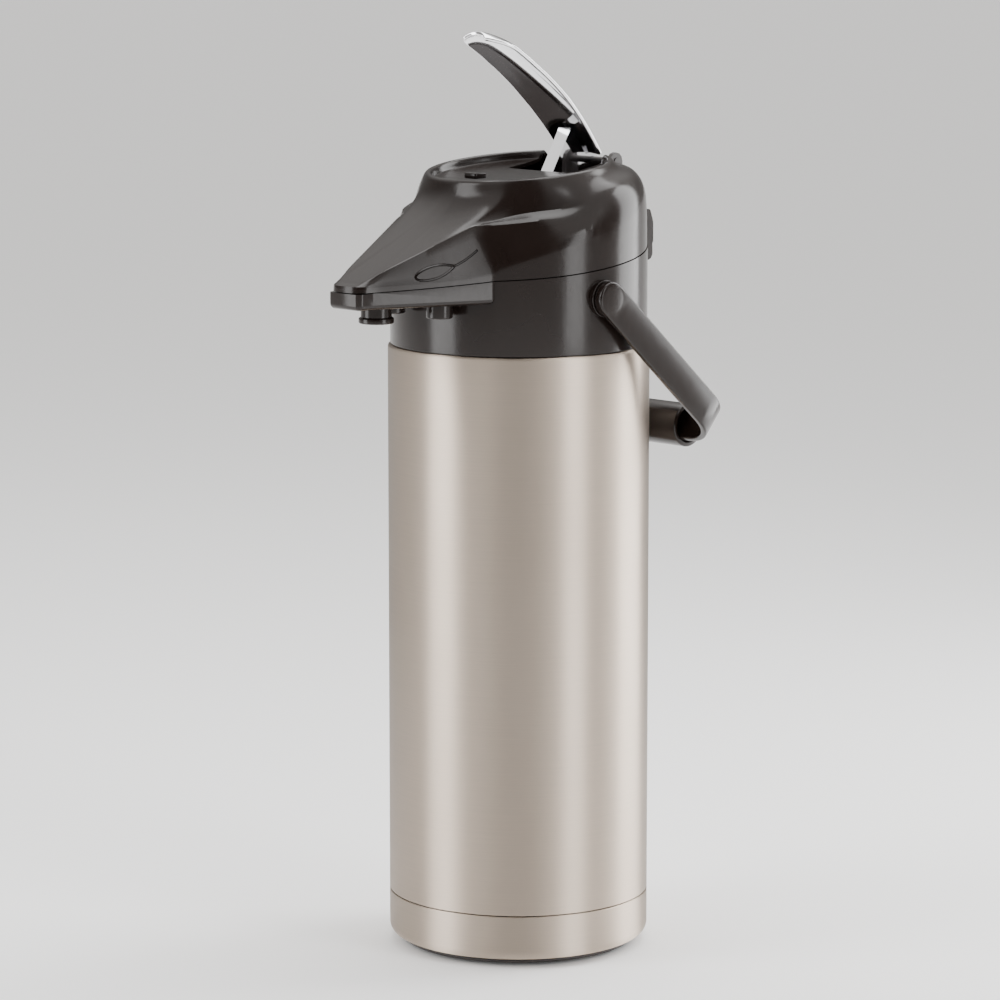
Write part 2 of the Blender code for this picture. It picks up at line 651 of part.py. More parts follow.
def build_head():
    surface = loft_mesh("head_shell", head_rings())
    head = add_part("head_shell", surface, BLACK)
    soft = head.modifiers.new("smooth", "SUBSURF")
    soft.levels = 1
    soft.render_levels = 1
    soft.boundary_smooth = "PRESERVE_CORNERS"
    wall = head.modifiers.new("wall", "SOLIDIFY")
    wall.thickness = HEAD_WALL
    wall.offset = -1
    wall.use_even_offset = False
    surface.shade_smooth()
    slot = block("lever slot", (-0.0262, 0.017, 0.460), (0.0262, 0.0685, 0.500), None, True)
    boolean(head, slot, solver="MANIFOLD")
    lock_way = block("lock slot", (-0.0110, -0.0365, 0.460), (0.0110, -0.0315, 0.490), None, True)
    boolean(head, lock_way, solver="MANIFOLD")

    cup = [(0, 0.4074), (0.0376, 0.4074), (0.0376, 0.4305), (0.0685, 0.4305), (0.0685, 0.4283),
           (0.0400, 0.4283), (0.0400, 0.4049), (0, 0.4049)]
    base = turned("head_base", cup, SATIN_BLACK, closed=False, steps=40)
    stem_at = (0, -STEM_FORWARD)
    boolean(base, rod("riser hole", 0.0086, 0.40, 0.41, "z", stem_at, None, SMALL_STEPS, True))
    boolean(base, rod("valve hole", 0.0040, 0.40, 0.41, "z", (0, PUMP_BACK), None, 16, True))
    ring("lid_gasket", 0.0320, 0.0385, 0.4014, 0.4046, SILICONE, steps=24)

    centre = (0, PUMP_BACK, 0)
    folds = 4
    low, high = 0.4078, 0.4397
    outer, inner = [], []
    for i in range(2 * folds + 1):
        height = high - (high - low) * i / (2 * folds)
        wide = i % 2
        outer.append((0.0245 if wide else 0.0205, height))
        inner.append((0.0234 if wide else 0.0194, height))
    turned("bellows", outer + inner[::-1], RUBBER, steps=18, at=centre)
    turns, steps, coil_radius, wire, seat = 5, 10, 0.013, 0.0007, 0.0012
    coil = []
    for i in range(turns * steps + 1):
        angle = 2 * math.pi * i / steps
        height = low + seat + (high - low - 2 * seat) * i / (turns * steps)
        across, back = coil_radius * math.cos(angle), PUMP_BACK + coil_radius * math.sin(angle)
        coil.append((across, back, height))
    tube("return_spring", coil, wire, STEEL, sides=0)
    disc("air_valve", 0.0070, 0.4078, 0.4088, SILICONE, steps=16, at=centre)

    plunger = disc("push_plate", 0.0220, 0.4400, 0.4425, GREY_PLASTIC, steps=24, at=centre)
    post = block("plunger post", (-0.006, 0.018, 0.4420), (0.006, 0.029, 0.4665), None, True)
    pad = block("plunger pad", (-0.006, 0.018, 0.4640), (0.006, 0.044, 0.4679), None, True)
    boolean(post, pad, "UNION")
    boolean(plunger, post, "UNION")

    points = [(0.022, 0.4080), (0.022, 0.4230), (0.0245, 0.4315), (0.033, 0.4352), (0.050, 0.4352),
              (0.078, 0.4335), (0.100, 0.4270), (0.113, 0.4210), (0.1195, 0.4165), (0.121, 0.4105)]
    route = smooth_route([(0, -v, z) for v, z in points], 2)
    tube("spout_tube", route, TUBE_RADIUS, STEEL, sides=1)

    cover = [(0.0760, 0.4292), (0.0915, 0.4292), (0.0915, 0.4425), (0.0885, 0.4507), (0.0760, 0.4507)]
    hinge = slab("hinge_cover", [cover], "x", -0.0275, 0.0275, BLACK)
    pin_at = (HINGE_BACK, HINGE_HEIGHT)
    knuckle = list(arc(pin_at, HINGE_ROUND, 180, 360, 8))
    knuckle += [(0.0912, 0.4310), (0.0828, 0.4310)]
    knuckles = (("middle", -0.0130, 0.0130), ("left", -0.0270, -0.0226), ("right", 0.0226, 0.0270))
    for name, low, high in knuckles:
        boolean(hinge, slab(f"hinge knuckle {name}", [knuckle], "x", low, high, None, True), "UNION")
    boolean(hinge, rod("knuckle hole", HINGE_BORE, -0.020, 0.020, "x", pin_at, None, 12, True))
    clear = HEAD_RADIUS + 0.0010
    boolean(hinge, rod("head wall clearance", clear, 0.40, 0.48, "z", (0, 0), None, 64, True))

    slider = block("lock_slider", (-0.0085, -0.0390, 0.4752), (0.0015, -0.0290, 0.4790), BLACK)
    stem = block("lock stem", (-0.0055, -0.0360, 0.4640), (-0.0015, -0.0320, 0.4760), None, True)
    foot = block("lock foot", (-0.0080, -0.0385, 0.4630), (0.0010, -0.0295, 0.4655), None, True)
    boolean(slider, stem, "UNION")
    boolean(slider, foot, "UNION")


# Lever, its bracket and its pin


def lever_point(share, across):
    """A point on the lever's upper surface; share runs from its root to its tip and across from -1 to 1."""
    base = Vector((0, LEVER_BACK - 0.0030, LEVER_HEIGHT + 0.0060))
    forward = Vector((0, -math.cos(LEVER_ANGLE), math.sin(LEVER_ANGLE)))
    outward = Vector((0, math.sin(LEVER_ANGLE), math.cos(LEVER_ANGLE)))
    bulge = 0.008 * 4 * share * (1 - share)
    half = 0.0170 + (LEVER_HALF - 0.0170) * min(1.0, share / 0.4)
    tip = max(0.0, (share - 0.84) / 0.16)
    half *= math.sqrt(max(0.0, 1 - 0.80 * tip * tip))
    dish = 0.0050 * across * across * min(1.0, 0.3 + share)
    curl = 0.0030 * tip * tip
    sideways = Vector((half * across, 0, 0))
    return base + forward * LEVER_LENGTH * share + outward * (bulge - dish - curl) + sideways


def along_lever(distance, outward):
    """The (y, z) point at a distance from the pin along the lever and square to it."""
    ahead, up = math.cos(LEVER_ANGLE), math.sin(LEVER_ANGLE)
    return (LEVER_BACK - distance * ahead + outward * up, LEVER_HEIGHT + distance * up + outward * ahead)


def build_lever():
    along, wide = 14, 6
    bm = bmesh.new()
    rows = []
    for i in range(along + 1):
        rows.append([bm.verts.new(lever_point(i / along, -1 + 2 * j / wide)) for j in range(wide + 1)])
    for near, far in zip(rows, rows[1:]):
        for j in range(wide):
            bm.faces.new((near[j], near[j + 1], far[j + 1], far[j]))
    mesh = bpy.data.meshes.new("lever")
    bmesh.ops.recalc_face_normals(bm, faces=bm.faces[:])
    if sum(face.normal.y for face in bm.faces) < 0:
        bmesh.ops.reverse_faces(bm, faces=bm.faces[:])
    bm.to_mesh(mesh)
    bm.free()
    lever = add_part("lever", mesh, CHROME)
    sheet = lever.modifiers.new("thickness", "SOLIDIFY")
    sheet.thickness = 0.0024
    sheet.offset = -1
    mesh.shade_smooth()

    pin_at = (LEVER_BACK, LEVER_HEIGHT)
    finger_angle, finger_length = math.radians(15), 0.034
    finger = (LEVER_BACK - finger_length * math.cos(finger_angle),
              LEVER_HEIGHT - finger_length * math.sin(finger_angle))
    outline = list(arc(pin_at, 0.0050, -120, 118, 8))
    outline += [along_lever(0.0070, -0.0010), along_lever(0.0280, 0.0028)]
    outline += list(arc(finger, 0.0040, 130, 285, 6))
    bore = list(arc(pin_at, 0.0024, 0, 330, 11))
    slab("lever_cam", [outline, bore], "x", -0.0050, 0.0050, CHROME)
    rod("lever_pin", LEVER_PIN, -0.0258, 0.0258, "x", pin_at, SATIN_BLACK, 16)

    cheek = [(0.0670, 0.4308), (0.0655, LEVER_HEIGHT)]
    cheek += list(arc(pin_at, 0.0055, 0, 180, 6))
    cheek += [(0.0520, 0.4308)]
    hole = list(arc(pin_at, 0.0023, 0, 330, 11))
    bracket = slab("lever_bracket", [cheek, hole], "x", 0.0222, 0.0252, BLACK)
    other = slab("bracket left cheek", [cheek, hole], "x", -0.0252, -0.0222, None, True)
    web = block("bracket web", (-0.0240, 0.0575, 0.4308), (0.0240, 0.0665, 0.4335), None, True)
    boolean(bracket, other, "UNION")
    boolean(bracket, web, "UNION")


build_base()
build_bottle()
build_collar()
build_stem()
build_handle()
build_head()
build_lever()
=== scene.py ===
"""Looks of a lever airpot: fine meshes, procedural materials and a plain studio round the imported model."""

import json
import math

import bmesh
import bpy
from mathutils import Matrix, Vector


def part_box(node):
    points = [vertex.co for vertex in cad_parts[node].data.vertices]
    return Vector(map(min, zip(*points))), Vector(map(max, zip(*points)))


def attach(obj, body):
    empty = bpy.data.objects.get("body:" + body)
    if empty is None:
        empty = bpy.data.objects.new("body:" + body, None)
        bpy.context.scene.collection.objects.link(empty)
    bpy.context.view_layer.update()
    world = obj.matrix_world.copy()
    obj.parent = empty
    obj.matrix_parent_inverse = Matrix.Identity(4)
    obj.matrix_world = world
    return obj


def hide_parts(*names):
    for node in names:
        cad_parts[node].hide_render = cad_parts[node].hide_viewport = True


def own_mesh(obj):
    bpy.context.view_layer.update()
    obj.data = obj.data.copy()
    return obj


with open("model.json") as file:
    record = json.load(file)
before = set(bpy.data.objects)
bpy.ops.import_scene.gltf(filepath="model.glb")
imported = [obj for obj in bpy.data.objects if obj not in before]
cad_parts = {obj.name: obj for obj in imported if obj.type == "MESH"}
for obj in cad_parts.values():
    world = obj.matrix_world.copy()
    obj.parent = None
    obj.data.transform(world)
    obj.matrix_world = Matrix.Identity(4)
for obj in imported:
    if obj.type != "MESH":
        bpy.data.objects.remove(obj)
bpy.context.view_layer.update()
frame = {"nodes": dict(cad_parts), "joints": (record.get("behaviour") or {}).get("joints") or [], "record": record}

# Sizes that the frame gives, and the few that follow the real object

JOINTS = {joint["name"]: joint for joint in frame["joints"]}
JACKET_LOW_CORNER, JACKET_HIGH_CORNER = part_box("outer_shell")
JACKET_RADIUS = JACKET_HIGH_CORNER[0]
JACKET_LOW, JACKET_HIGH = JACKET_LOW_CORNER[2], JACKET_HIGH_CORNER[2]
JACKET_MOUTH = 0.0740
SHEET = 0.0006
BASE_LIP = 0.0695
BASE_LOW, BASE_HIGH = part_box("base_ring")[0][2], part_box("base_ring")[1][2]
COLLAR_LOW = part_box("collar")[0][2]
COLLAR_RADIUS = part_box("collar")[1][0]
COLLAR_WALL = 0.0030
COLLAR_TOP = 0.4470
COLLAR_LEDGE = 0.0460
HEAD_RADIUS = 0.0782
HEAD_WALL = 0.0022
PARTING_GAP = 0.0003
SHOULDER_RADIUS = 0.0668
# Angles from the spout, in degrees: where the ledge runs, and where the shoulder turns to a plain cone
LEDGE_START, LEDGE_END = 24, 84
CONE_START, CONE_END = 62, 96

BEAK_TIP = -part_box("collar")[0][1]
BEAK_TIP_HALF = 0.0135
BEAK_ROOT_HALF = 0.0444
BEAK_ROOT = 0.0647
BEAK_FLOOR = 0.4050
BEAK_SCREW_SIDE = 0.020
NOZZLE_BACK = -0.121

HINGE_AT = JOINTS["lid_hinge"]["pos_m"][1:]
HINGE_ROUND = 0.0045
HINGE_BORE = 0.0022
LEVER_ANGLE = math.radians(40.9)
LEVER_LENGTH = 0.120
LEVER_ROOT_HALF, LEVER_HALF = 0.0170, 0.0200
LEVER_SHEET = 0.0024
HANDLE_AT = Vector(JOINTS["handle_swing"]["pos_m"])
HANDLE_DROP = math.radians(40.9)
HANDLE_REACH = 0.1362
HANDLE_INSIDE, HANDLE_OUTSIDE = 0.0820, 0.0865
HANDLE_BAND = 0.0210
HANDLE_CROWN = 0.0006
HANDLE_BEND = 0.026
GRIP_INSIDE, GRIP_OUTSIDE = 0.0110, 0.0135
GRIP_HALF = 0.0550

AROUND = 160

# The camera's place

VIEW_AZIMUTH = math.radians(44)
CAMERA_DISTANCE = 2.6
CAMERA_HEIGHT = 0.695
CAMERA_LENS = 154.25
AIM_HEIGHT = 0.2754
AIM_LEFT = 0.0114


def parting_height(forward):
    """Height of the line where the lid meets the collar."""
    return 0.4252 - 0.12 * forward + 0.35 * forward * forward


def wall_height(forward):
    """Top of the upright wall of the pump head."""
    return 0.4546 - 0.314 * forward - 1.607 * forward * forward


def rim_height(forward):
    """Top of the raised rim round the lever recess."""
    return 0.4815 - 0.10 * forward


def ridge_height(forward):
    """Height of the two ridges that run down the beak."""
    return 0.422 + 0.42 * (0.142 - forward)


# Material helpers


class Recipe:
    """A Principled material with its node tree at hand."""

    def __init__(self, name, colour, roughness, metallic=0.0, **sockets):
        self.material = bpy.data.materials.new(name)
        self.material.use_nodes = True
        self.tree = self.material.node_tree
        self.shader = self.tree.nodes["Principled BSDF"]
        self.shader.inputs["Base Color"].default_value = (*colour, 1)
        self.shader.inputs["Roughness"].default_value = roughness
        self.shader.inputs["Metallic"].default_value = metallic
        for socket, value in sockets.items():
            self.shader.inputs[socket.replace("_", " ")].default_value = value
        self.colour = colour
        self.roughness = roughness
        self.place = self.tree.nodes.new("ShaderNodeTexCoord").outputs["Object"]

    def node(self, kind, **settings):
        made = self.tree.nodes.new(kind)
        for key, value in settings.items():
            setattr(made, key, value)
        return made

    def stretched(self, scale):
        mapping = self.node("ShaderNodeMapping")
        mapping.inputs["Scale"].default_value = scale
        self.tree.links.new(self.place, mapping.inputs["Vector"])
        return mapping.outputs["Vector"]

    def noise(self, scale, stretch=(1, 1, 1), detail=4.0, rough=0.55):
        noise = self.node("ShaderNodeTexNoise")
        noise.inputs["Scale"].default_value = scale
        noise.inputs["Detail"].default_value = detail
        noise.inputs["Roughness"].default_value = rough
        self.tree.links.new(self.stretched(stretch), noise.inputs["Vector"])
        return noise.outputs["Fac"]

    def ramp(self, factor, low, high, start=0.3, end=0.7):
        """Values from low to high as the factor goes from start to end."""
        reach = self.node("ShaderNodeMapRange", clamp=True)
        reach.inputs["From Min"].default_value = start
        reach.inputs["From Max"].default_value = end
        reach.inputs["To Min"].default_value = low
        reach.inputs["To Max"].default_value = high
        self.tree.links.new(factor, reach.inputs["Value"])
        return reach.outputs["Result"]

    def mottle(self, factor, darker, lighter):
        """Base colour between two multiples of the recipe's own."""
        mix = self.node("ShaderNodeMix", data_type="RGBA")
        mix.inputs["A"].default_value = (*[c * darker for c in self.colour], 1)
        mix.inputs["B"].default_value = (*[min(1.0, c * lighter) for c in self.colour], 1)
        self.tree.links.new(factor, mix.inputs["Factor"])
        self.tree.links.new(mix.outputs["Result"], self.shader.inputs["Base Color"])

    def rough(self, value):
        self.tree.links.new(value, self.shader.inputs["Roughness"])

    def bump(self, height, strength, distance):
        bump = self.node("ShaderNodeBump")
        bump.inputs["Strength"].default_value = strength
        bump.inputs["Distance"].default_value = distance
        self.tree.links.new(height, bump.inputs["Height"])
        self.tree.links.new(bump.outputs["Normal"], self.shader.inputs["Normal"])


def brushed_steel(name="brushed steel", colour=(0.64, 0.545, 0.455)):
    """Steel brushed round the body: hair-fine rings, with soft clouds in their polish."""
    recipe = Recipe(name, colour, 0.23, 1.0, Anisotropic=0.99, Anisotropic_Rotation=0.25)
    tangent = recipe.node("ShaderNodeTangent", direction_type="RADIAL", axis="Z")
    recipe.tree.links.new(tangent.outputs["Tangent"], recipe.shader.inputs["Tangent"])
    hair = recipe.noise(16, (1.2, 1.2, 110), 6, 0.7)
    cloud = recipe.noise(14, (1, 1, 0.6), 3)
    blend = recipe.node("ShaderNodeMath", operation="MULTIPLY_ADD")
    recipe.tree.links.new(hair, blend.inputs[0])
    blend.inputs[1].default_value = 0.7
    recipe.tree.links.new(recipe.ramp(cloud, 0.0, 0.3), blend.inputs[2])
    recipe.mottle(recipe.ramp(blend.outputs[0], 0, 1, 0.25, 0.75), 0.90, 1.08)
    recipe.rough(recipe.ramp(blend.outputs[0], 0.46, 0.60, 0.2, 0.8))
    recipe.bump(hair, 0.03, 0.0002)
    return recipe.material


def gloss_black(name="gloss black", colour=(0.011, 0.0072, 0.0060), roughness=0.19):
    """Moulded glossy plastic: slight waviness of the mould, fine hairline scuffs and a clear coat."""
    recipe = Recipe(name, colour, roughness, 0.0, Specular_IOR_Level=0.30)
    wave = recipe.noise(26, (1, 1, 1), 2)
    scuff = recipe.noise(420, (1, 1, 0.35), 5, 0.7)
    recipe.mottle(recipe.ramp(wave, 0, 1), 0.90, 1.10)
    recipe.rough(recipe.ramp(scuff, roughness * 0.85, roughness * 1.35, 0.35, 0.8))
    recipe.bump(wave, 0.05, 0.0008)
    return recipe.material


def satin_black(name="satin black"):
    """Moulded plastic with a fine spark-eroded grain."""
    recipe = Recipe(name, (0.034, 0.029, 0.028), 0.42)
    grain = recipe.noise(1500, (1, 1, 1), 3)
    patch = recipe.noise(40, (1, 1, 1), 3)
    recipe.mottle(recipe.ramp(patch, 0, 1), 0.85, 1.15)
    recipe.rough(recipe.ramp(grain, 0.36, 0.52))
    recipe.bump(grain, 0.18, 0.0001)
    return recipe.material


def chrome(name="chrome"):
    """Plated lever: nearly a mirror, with faint handling haze and a very slight ripple."""
    recipe = Recipe(name, (0.88, 0.88, 0.90), 0.05, 1.0)
    haze = recipe.noise(60, (1, 1, 1), 5, 0.65)
    ripple = recipe.noise(38, (1, 1, 1), 1)
    recipe.mottle(recipe.ramp(haze, 0, 1), 0.96, 1.03)
    recipe.rough(recipe.ramp(haze, 0.03, 0.11))
    recipe.bump(ripple, 0.02, 0.0004)
    return recipe.material


def plain_steel(name="plain steel"):
    """Drawn sheet and turned pins: fine rings and small handling marks."""
    recipe = Recipe(name, (0.60, 0.58, 0.56), 0.24, 1.0)
    hair = recipe.noise(30, (1, 1, 60), 5, 0.7)
    recipe.mottle(recipe.ramp(hair, 0, 1), 0.90, 1.06)
    recipe.rough(recipe.ramp(hair, 0.18, 0.34))
    recipe.bump(hair, 0.08, 0.0001)
    return recipe.material


def rubber(name="rubber"):
    """Matt black rubber with dust in its grain."""
    recipe = Recipe(name, (0.030, 0.030, 0.031), 0.8)
    dust = recipe.noise(260, (1, 1, 1), 6, 0.7)
    recipe.mottle(recipe.ramp(dust, 0, 1, 0.4, 0.8), 0.85, 1.6)
    recipe.rough(recipe.ramp(dust, 0.68, 0.92))
    recipe.bump(dust, 0.25, 0.0002)
    return recipe.material


def silicone(name="silicone"):
    """Milky seal rubber that lets a little light in."""
    recipe = Recipe(name, (0.74, 0.73, 0.69), 0.5, 0.0, Subsurface_Weight=0.15)
    cloud = recipe.noise(120, (1, 1, 1), 3)
    recipe.mottle(recipe.ramp(cloud, 0, 1), 0.93, 1.03)
    recipe.rough(recipe.ramp(cloud, 0.42, 0.6))
    recipe.bump(cloud, 0.1, 0.0002)
    return recipe.material


def grey_plastic(name="grey plastic"):
    """Plain moulded pump parts with a faint flow pattern."""
    recipe = Recipe(name, (0.30, 0.29, 0.28), 0.45)
    flow = recipe.noise(70, (1, 1, 0.4), 4)
    recipe.mottle(recipe.ramp(flow, 0, 1), 0.92, 1.08)
    recipe.rough(recipe.ramp(flow, 0.38, 0.54))
    recipe.bump(flow, 0.06, 0.0003)
    return recipe.material


MATERIALS = {
    "brushed_steel": brushed_steel(),
    "plain_steel": plain_steel(),
    "chrome": chrome(),
    "gloss_black": gloss_black(),
    "satin_black": satin_black(),
    "grey_plastic": grey_plastic(),
    "rubber": rubber(),
    "silicone": silicone(),
}
SLOT_OF = {part["node"]: part["material_slot"] for part in frame["record"]["subparts"]}
BODY_OF = {
    node: body for body, nodes in frame["record"]["behaviour"]["bodies"].items() for node in nodes
}


def finish_cad_nodes():
    """Every CAD node that keeps its shape gets its slot's material."""
    for name, node in frame["nodes"].items():
        node.data.materials.clear()
        node.data.materials.append(MATERIALS[SLOT_OF[name]])
        node.data.shade_smooth()
        node.data.set_sharp_from_angle(angle=math.radians(32))


# Mesh helpers


def link(name, mesh):
    piece = bpy.data.objects.new(name, mesh)
    bpy.context.scene.collection.objects.link(piece)
    return piece


def settle(piece, node):
    """The piece rides with a node's body, takes its slot and stands for the node."""
    piece.data.materials.clear()
    piece.data.materials.append(MATERIALS[SLOT_OF[node]])
    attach(piece, BODY_OF[node])
    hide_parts(node)
    return piece


def finished(name, bm, smooth_angle=35, matrix=None):
    """A mesh object from a bmesh, shaded smooth between edges under the angle."""
    bmesh.ops.recalc_face_normals(bm, faces=bm.faces[:])
    mesh = bpy.data.meshes.new(name)
    bm.to_mesh(mesh)
    bm.free()
    if matrix is not None:
        mesh.transform(matrix)
    mesh.shade_smooth()
    mesh.set_sharp_from_angle(angle=math.radians(smooth_angle))
    return link(name, mesh)


def arc(centre, radius, start, end, count):
    """Points on an arc, with angles in degrees."""
    for i in range(count + 1):
        angle = math.radians(start + (end - start) * i / count)
        yield (centre[0] + radius * math.cos(angle), centre[1] + radius * math.sin(angle))


def turned(name, profile, steps=AROUND, matrix=None, closed=True):
    """A piece turned about Z from (radius, height) points; points on the axis close it."""
    bm = bmesh.new()
    rows = []
    for radius, height in profile:
        if radius < 1e-6:
            rows.append([bm.verts.new((0, 0, height))] * steps)
            continue
        row = []
        for i in range(steps):
            angle = 2 * math.pi * i / steps
            row.append(bm.verts.new((radius * math.cos(angle), radius * math.sin(angle), height)))
        rows.append(row)
    pairs = list(zip(rows, rows[1:]))
    if closed:
        pairs.append((rows[-1], rows[0]))
    for near, far in pairs:
        if near[0] is near[1] and far[0] is far[1]:
            continue
        for i in range(steps):
            j = (i + 1) % steps
            corners = [near[i], near[j], far[j], far[i]]
            kept = [v for k, v in enumerate(corners) if v is not corners[k - 1]]
            bm.faces.new(kept)
    return finished(name, bm, matrix=matrix)


def rounded(points, radius, count=4):
    """A profile with each of its corners turned into an arc, for closed (a, b) outlines."""
    result = []
    for before, corner, after in zip(points[-1:] + points[:-1], points, points[1:] + points[:1]):
        a, b, c = Vector(before), Vector(corner), Vector(after)
        into, out = (a - b), (c - b)
        cut = min(radius, 0.45 * into.length, 0.45 * out.length)
        start, end = b + into.normalized() * cut, b + out.normalized() * cut
        for i in range(count + 1):
            t = i / count
            result.append(tuple((1 - t) ** 2 * start + 2 * t * (1 - t) * b + t * t * end))
    return result


def slab(name, outline, axis, low, high):
    """A plate cut to a closed outline, (y, z) across X or (x, y) across Z, between two levels."""
    bm = bmesh.new()
    rows = []
    for level in (low, high):
        if axis == "x":
            rows.append([bm.verts.new((level, a, b)) for a, b in outline])
        else:
            rows.append([bm.verts.new((a, b, level)) for a, b in outline])
    bm.faces.new(rows[0][::-1])
    bm.faces.new(rows[1])
    for i in range(len(outline)):
        j = (i + 1) % len(outline)
        bm.faces.new((rows[0][i], rows[0][j], rows[1][j], rows[1][i]))
    return finished(name, bm)


def rod(name, radius, low, high, axis, at, steps=48):
    """A cylinder between two levels along X or Z, with its middle at (x, y) or (y, z)."""
    outline = [(at[0] + a, at[1] + b) for a, b in arc((0, 0), radius, 0, 360, steps)][:-1]
    return slab(name, outline, axis, low, high)


def block(name, low, high):
    outline = [(low[0], low[1]), (high[0], low[1]), (high[0], high[1]), (low[0], high[1])]
    return slab(name, outline, "z", low[2], high[2])


def modify(piece, kind, **settings):
    modifier = piece.modifiers.new(kind.lower(), kind)
    for key, value in settings.items():
        setattr(modifier, key, value)


def combine(piece, other, operation="DIFFERENCE"):
    modify(piece, "BOOLEAN", object=other, operation=operation, solver="MANIFOLD")


def bake(piece, smooth_angle=35):
    """The piece's modifiers become its mesh, and what they used is removed."""
    used = [m.object for m in piece.modifiers if m.type == "BOOLEAN"]
    graph = bpy.context.evaluated_depsgraph_get()
    mesh = bpy.data.meshes.new_from_object(piece.evaluated_get(graph))
    piece.modifiers.clear()
    piece.data = mesh
    mesh.shade_smooth()
    mesh.set_sharp_from_angle(angle=math.radians(smooth_angle))
    for other in used:
        bpy.data.objects.remove(other)
    return piece


def tube(name, path, radius, steps=8, closed=False):
    """A round tube along points; an open one is capped."""
    bm = bmesh.new()
    points = [Vector(p) for p in path]
    rows = []
    for i, point in enumerate(points):
        before = points[i - 1] if i or closed else point
        after = points[(i + 1) % len(points)] if i + 1 < len(points) or closed else point
        ahead = (after - before).normalized()
        side = ahead.orthogonal() if not rows else side - ahead * side.dot(ahead)
        side.normalize()
        up = ahead.cross(side)
        row = []
        for k in range(steps):
            angle = 2 * math.pi * k / steps
            row.append(bm.verts.new(point + radius * (math.cos(angle) * side + math.sin(angle) * up)))
        rows.append(row)
    for near, far in zip(rows, rows[1:] + (rows[:1] if closed else [])):
        for k in range(steps):
            n = (k + 1) % steps
            bm.faces.new((near[k], near[n], far[n], far[k]))
    if not closed:
        bm.faces.new(rows[0][::-1])
        bm.faces.new(rows[-1])
    return finished(name, bm)


# Body: jacket, base ring and turntable


def build_body():
    bend = 0.0015
    profile = [(JACKET_MOUTH, JACKET_HIGH)]
    profile += list(arc((JACKET_RADIUS - bend, JACKET_HIGH - bend), bend, 90, 0, 8))
    profile += [(JACKET_RADIUS, JACKET_HIGH - 0.17 * k) for k in (0.1, 1)]
    lip = 0.0008
    profile += list(arc((JACKET_RADIUS - lip, JACKET_LOW + lip), lip, 0, -80, 5))
    inside = JACKET_RADIUS - lip - SHEET
    profile += [(inside, JACKET_LOW + SHEET), (inside, JACKET_HIGH - 0.004)]
    settle(turned("Jacket", profile, 256, closed=False), "outer_shell")

    bend = 0.0065
    profile = list(arc((JACKET_RADIUS - lip, BASE_HIGH - lip), lip, 80, 0, 5))
    profile += list(arc((JACKET_RADIUS - bend, BASE_LOW + bend), bend, 0, -90, 10))
    profile += [(BASE_LIP, BASE_LOW), (BASE_LIP, BASE_LOW + SHEET)]
    inside = JACKET_RADIUS - 0.0022
    profile += [(inside, BASE_LOW + bend), (inside, BASE_HIGH - SHEET)]
    settle(turned("Base_ring", profile, 256), "base_ring")

    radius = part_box("swivel_base")[1][0]
    profile = [(0, 0.0042), (0.0714, 0.0042)]
    profile += list(arc((radius - 0.0009, 0.0033), 0.0009, 80, -40, 6))
    profile += [(0.0712, 0.0015), (0, 0.0015)]
    settle(turned("Turntable", profile, 192, closed=False), "swivel_base")


# Collar with the lower half of the beak


def beak_outline(inset, back_radius):
    """The beak's plan as (x, y), its end round and its back an arc inside the collar."""
    half = BEAK_ROOT_HALF - inset
    tip_half = BEAK_TIP_HALF - inset
    end = BEAK_TIP - inset
    curve = 0.0042
    right = [(half, -BEAK_ROOT), (tip_half + 0.0006, -(end - 0.011))]
    right += [(tip_half - curve + a, -(end - curve) - b) for a, b in arc((0, 0), curve, 0, 78, 7)]
    left = [(-x, y) for x, y in reversed(right)]
    start = math.degrees(math.atan2(-BEAK_ROOT, -half))
    back = [(x, y) for x, y in arc((0, 0), back_radius, start + 4, -start - 184, 12)]
    return right + left + back


def turned_cup(name, inset, low, high):
    """The trough under the beak, with its lower edges rounded."""
    piece = slab(name, beak_outline(inset, COLLAR_RADIUS - 0.0045), "z", low, high)
    modify(piece, "BEVEL", width=0.0042, segments=6, limit_method="ANGLE", angle_limit=math.radians(50))
    return piece


